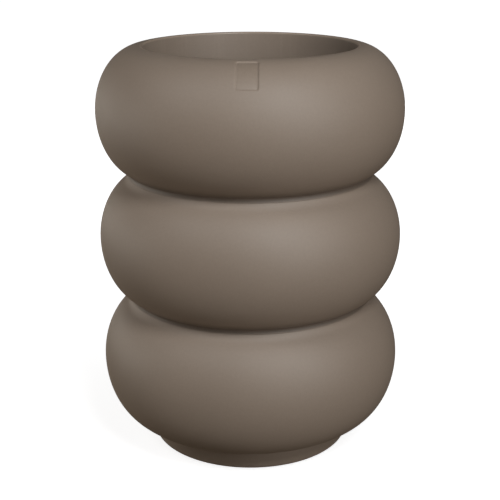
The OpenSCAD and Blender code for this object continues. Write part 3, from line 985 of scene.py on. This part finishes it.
def shell_finish(name, colour, roughness, grain):
    """Matte moulded plastic: a fine even grain, soft mottling, scuffs low on the foot, painted shade
    in the creases, a painted highlight along the lip, which is also smoother, and faint upright
    streaks where water has run down the inside of the mouth."""
    material, tree, place = new_material(name)
    xyz = tree.add("ShaderNodeSeparateXYZ", None, {0: place})
    x, y, z = xyz.out("X"), xyz.out("Y"), xyz.out("Z")
    away = (x * x + y * y).math("SQRT")
    cloud = scatter(tree, place, 9.0, 3.0)
    fleck = scatter(tree, place, 320.0, 2.0)
    fine = scatter(tree, place, 1500.0, 2.0, 0.6)
    flow = scatter(tree, stretched(tree, place, 1, 1, 6.0), 5.0, 2.0)
    scuffs = tree.smooth(scatter(tree, stretched(tree, place, 1, 1, 2.5), 120.0, 4.0, 0.6), 0.12, 0.4) \
        * tree.smooth(z, 16 * MM, 3 * MM)
    in_mouth = away.math("LESS_THAN", MOUTH_R + 0.5 * MM) * z.math("GREATER_THAN", LEDGE_Z)
    upright = scatter(tree, stretched(tree, place, 1, 1, 0.03), 75.0, 2.0, 0.7)
    streaks = tree.smooth(upright, 0.05, 0.5) * in_mouth
    # Painted shade: the colour darkens just above each crease, where shade falls
    crease_shade = 0
    for ring in (0, 1):
        above = z - joint(ring)[1]
        crease_shade += tree.smooth(above, -1 * MM, 2 * MM) * tree.smooth(above, 20 * MM, 4 * MM)
    crease_shade *= cloud * 0.25 + 1.0
    # Painted highlight: the lip's edge is lighter in colour; the lower roughness there makes a smoother lip
    lip_highlight_and_polish = tree.smooth(away, MOUTH_R + LIP_R + 2 * MM, MOUTH_R + LIP_R + 0.3 * MM) \
        * tree.smooth(z, RIM_Z - 3 * MM, RIM_Z - 1 * MM)
    factor = cloud * 0.035 + fleck * 0.065 + fine * 0.05 + flow * 0.015 + streaks * 0.07 + lip_highlight_and_polish * 0.36 \
        - crease_shade * 0.4 + 1.0
    scuffed = (*(c * 1.45 for c in colour), 1.0)
    tone = mixed(tree, scuffs * 0.35, shaded(tree, colour, factor), scuffed)
    rough = cloud * 0.04 + fleck * 0.05 + fine * 0.04 + scuffs * 0.15 - streaks * 0.06 - lip_highlight_and_polish * 0.25 \
        + roughness
    height = fine * grain + fleck * (0.6 * grain) - scuffs * 0.5
    close_material(tree, tone, rough, height, 0.06 * MM, 0.9)
    return material


def satin_finish(name, colour, roughness, specular=0.5):
    """Satin moulded plastic with flow marks, fine scratches and dried splashes."""
    material, tree, place = new_material(name)
    cloud = scatter(tree, place, 14.0, 3.0)
    fine = scatter(tree, place, 1100.0, 2.0, 0.6)
    scratch = tree.smooth(scatter(tree, stretched(tree, place, 1, 1, 14.0), 60.0, 5.0, 0.7), 0.25, 0.5)
    splash = tree.smooth(scatter(tree, place, 38.0, 5.0, 0.65), 0.22, 0.34)
    factor = cloud * 0.1 + fine * 0.06 + scratch * 0.12 + 1.0
    tone = mixed(tree, splash * 0.10, shaded(tree, colour, factor), (0.30, 0.27, 0.23, 1.0))
    rough = cloud * 0.06 + fine * 0.05 + scratch * 0.10 + splash * 0.12 + roughness
    close_material(tree, tone, rough, fine * 0.5 + scratch * -0.4, 0.05 * MM, specular)
    return material


def rubber_finish(name, colour, roughness):
    """Dull rubber with a fine tooth, and pale dust worked into its low places."""
    material, tree, place = new_material(name)
    cloud = scatter(tree, place, 30.0, 3.0)
    fine = scatter(tree, place, 1300.0, 3.0, 0.6)
    dust = tree.smooth(scatter(tree, place, 150.0, 4.0, 0.65), 0.05, 0.45)
    factor = cloud * 0.15 + fine * 0.1 + 1.0
    tone = mixed(tree, dust * 0.12, shaded(tree, colour, factor), (0.25, 0.22, 0.19, 1.0))
    close_material(tree, tone, cloud * 0.05 + dust * 0.08 + roughness, fine, 0.08 * MM, 0.35)
    return material


def steel_finish(name, colour, roughness):
    """Bright spring steel with rolling marks and a few dull spots."""
    material, tree, place = new_material(name)
    rolled = scatter(tree, stretched(tree, place, 1.0, 12.0, 12.0), 180.0, 3.0, 0.6)
    spots = tree.smooth(scatter(tree, place, 420.0, 3.0), 0.2, 0.5)
    tone = mixed(tree, spots * 0.3, shaded(tree, colour, rolled * 0.1 + 1.0), (0.32, 0.27, 0.22, 1.0))
    close_material(tree, tone, rolled * 0.1 + spots * 0.2 + roughness, rolled, 0.01 * MM, 0.5, 1.0)
    return material


TAUPE = (0.319, 0.249, 0.194)
shell_plastic = shell_finish("matte_taupe_plastic", TAUPE, 0.60, 1.0)
badge_plastic = shell_finish("smooth_taupe_plastic", TAUPE, 0.50, 0.4)
liner_plastic = satin_finish("dark_liner_plastic", (0.060, 0.055, 0.050), 0.42)
handle_plastic = satin_finish("dark_handle_plastic", (0.085, 0.077, 0.069), 0.38)
grid_plastic = satin_finish("dark_grid_plastic", (0.085, 0.077, 0.069), 0.5)
plug_plastic = satin_finish("near_black_plug_plastic", (0.045, 0.042, 0.039), 0.4)
pad_rubber = rubber_finish("black_pad_rubber", (0.025, 0.024, 0.023), 0.82)
seal_rubber = rubber_finish("black_seal_rubber", (0.018, 0.018, 0.018), 0.6)
nut_steel = steel_finish("spring_steel", (0.62, 0.62, 0.60), 0.28)


# The pieces, each in place of its CAD node

hand_over(top_bulge(shell_plastic), "shell", "shell_plastic", "upper_ring")
hand_over(middle_bulge(shell_plastic), "shell", "shell_plastic", "middle_ring")
hand_over(low_bulge(shell_plastic), "shell", "shell_plastic", "lower_ring")
hand_over(round_foot(shell_plastic), "shell", "shell_plastic", "foot_base")
hand_over(tag_plate(badge_plastic), "shell", "badge_plastic", "badge_plate")
hand_over(pin_nuts(nut_steel), "shell", "nut_steel", "badge_push_nuts")
for quarter, place_name in enumerate(("right", "back", "left", "front")):
    hand_over(foot_rubber(f"{place_name}_foot_rubber", quarter * math.pi / 2, pad_rubber),
              "shell", "pad_rubber", f"foot_pad_{place_name}")
hand_over(screw_plug(plug_plastic), "plug", "plug_plastic", "drain_plug")
hand_over(plug_gasket(seal_rubber), "seal", "seal_rubber", "plug_seal")
hand_over(soil_bucket(liner_plastic), "liner", "liner_plastic", "planting_liner")
hand_over(bail("left_bail", -1, handle_plastic), "left_handle", "handle_plastic", "left_lift_handle")
hand_over(bail("right_bail", 1, handle_plastic), "right_handle", "handle_plastic", "right_lift_handle")
hand_over(drain_disc(grid_plastic), "grid", "grid_plastic", "soil_grid")


# Floor, backdrop and lamps

def white_to_camera(tree, seen, unseen):
    """What the camera sees, and what every other ray meets in its place."""
    path = tree.add("ShaderNodeLightPath")
    return tree.add("ShaderNodeMixShader", None, {0: path.out("Is Camera Ray"), 1: unseen, 2: seen})


def set_floor():
    """A white floor that still takes a faint shadow close to the pot."""
    material, tree, place = new_material("white_floor")
    away = tree.add("ShaderNodeVectorMath", {"operation": "LENGTH"}, {0: place}).out("Value")
    far = tree.smooth(away, 0.15, 0.7)
    glow = tree.add("ShaderNodeEmission", None, {
        "Color": mixed(tree, far, (0.84, 0.84, 0.84, 1), (1.05, 1.05, 1.05, 1)), "Strength": 1.0})
    paint = tree.add("ShaderNodeBsdfDiffuse", None, {"Color": (0.6, 0.6, 0.6, 1)})
    seen = tree.add("ShaderNodeAddShader", None, {0: glow, 1: paint})
    bounce = tree.add("ShaderNodeEmission", None, {"Color": (1, 0.8, 0.6, 1), "Strength": 0.1})
    tree.add("ShaderNodeOutputMaterial", None, {"Surface": white_to_camera(tree, seen, bounce)})
    reach = 12
    low = -0.1 * MM
    floor = new_object("floor", [(-reach, -reach, low), (reach, -reach, low), (reach, reach, low),
                                 (-reach, reach, low)], (), [(0, 1, 2, 3)])
    floor.data.materials.append(material)


def set_world():
    world = bpy.data.worlds.new("white_room")
    world.use_nodes = True
    world.node_tree.nodes.clear()
    tree = Tree(world.node_tree)
    seen = tree.add("ShaderNodeBackground", None, {"Color": (1, 1, 1, 1), "Strength": 1.0})
    ambient = tree.add("ShaderNodeBackground", None, {"Color": (1, 1, 1, 1), "Strength": 0.004})
    tree.add("ShaderNodeOutputWorld", None, {"Surface": white_to_camera(tree, seen, ambient)})
    bpy.context.scene.world = world


LAMP_DISTANCE = 2.6
LAMP_TARGET = Vector((0, 0, 0.28))


def add_lamp(name, azimuth, elevation, strength, colour=(1, 1, 1)):
    """A round lamp aimed at the pot. At strength 1, a surface square to it shows its own colour."""
    turn, lift = math.radians(azimuth), math.radians(elevation)
    away = Vector((math.cos(lift) * math.sin(turn), -math.cos(lift) * math.cos(turn), math.sin(lift)))
    lamp = bpy.data.lights.new(name, "AREA")
    lamp.shape = "DISK"
    lamp.size = 0.9
    lamp.energy = strength * math.pi ** 2 * LAMP_DISTANCE ** 2
    lamp.color = colour
    made = bpy.data.objects.new(name, lamp)
    made.location = LAMP_TARGET + away * LAMP_DISTANCE
    made.rotation_euler = (-away).to_track_quat("-Z", "Y").to_euler()
    bpy.context.scene.collection.objects.link(made)


def set_camera():
    """The camera a little to the right of the badge, looking down at the pot."""
    turn, dip, roll = math.radians(1.17), math.radians(17.5882), math.radians(-0.119)
    away, height = 1.38371, 0.69254
    lens_in_pixels, picture_in_pixels, pot_off_middle_in_pixels = 1099.5, 500, 0.33
    sensor_in_mm = 36
    camera = bpy.data.cameras.new("camera")
    camera.sensor_width = sensor_in_mm
    camera.lens = lens_in_pixels / picture_in_pixels * sensor_in_mm
    made = bpy.data.objects.new("camera", camera)
    bpy.context.scene.collection.objects.link(made)
    aim = turn + pot_off_middle_in_pixels / lens_in_pixels
    pose = Matrix.Rotation(aim, 4, "Z") @ Matrix.Rotation(math.pi / 2 - dip, 4, "X") \
        @ Matrix.Rotation(roll, 4, "Z")
    pose.translation = Vector((away * math.sin(turn), -away * math.cos(turn), height))
    made.matrix_world = pose
    bpy.context.scene.camera = made


set_floor()
set_world()
add_lamp("high_lamp", 24, 42, 0.43, (0.97, 0.99, 1))
add_lamp("key_lamp", 42, 14, 0.215)
add_lamp("left_lamp", -95, 0, 0.185, (1, 0.95, 0.87))
add_lamp("high_left_lamp", -50, 42, 0.165)
add_lamp("rear_left_lamp", -130, 0, 0.105, (1, 0.95, 0.87))
add_lamp("back_lamp", 178, -6, 0.2)
set_camera()
bpy.context.scene.view_settings.view_transform = "Standard"
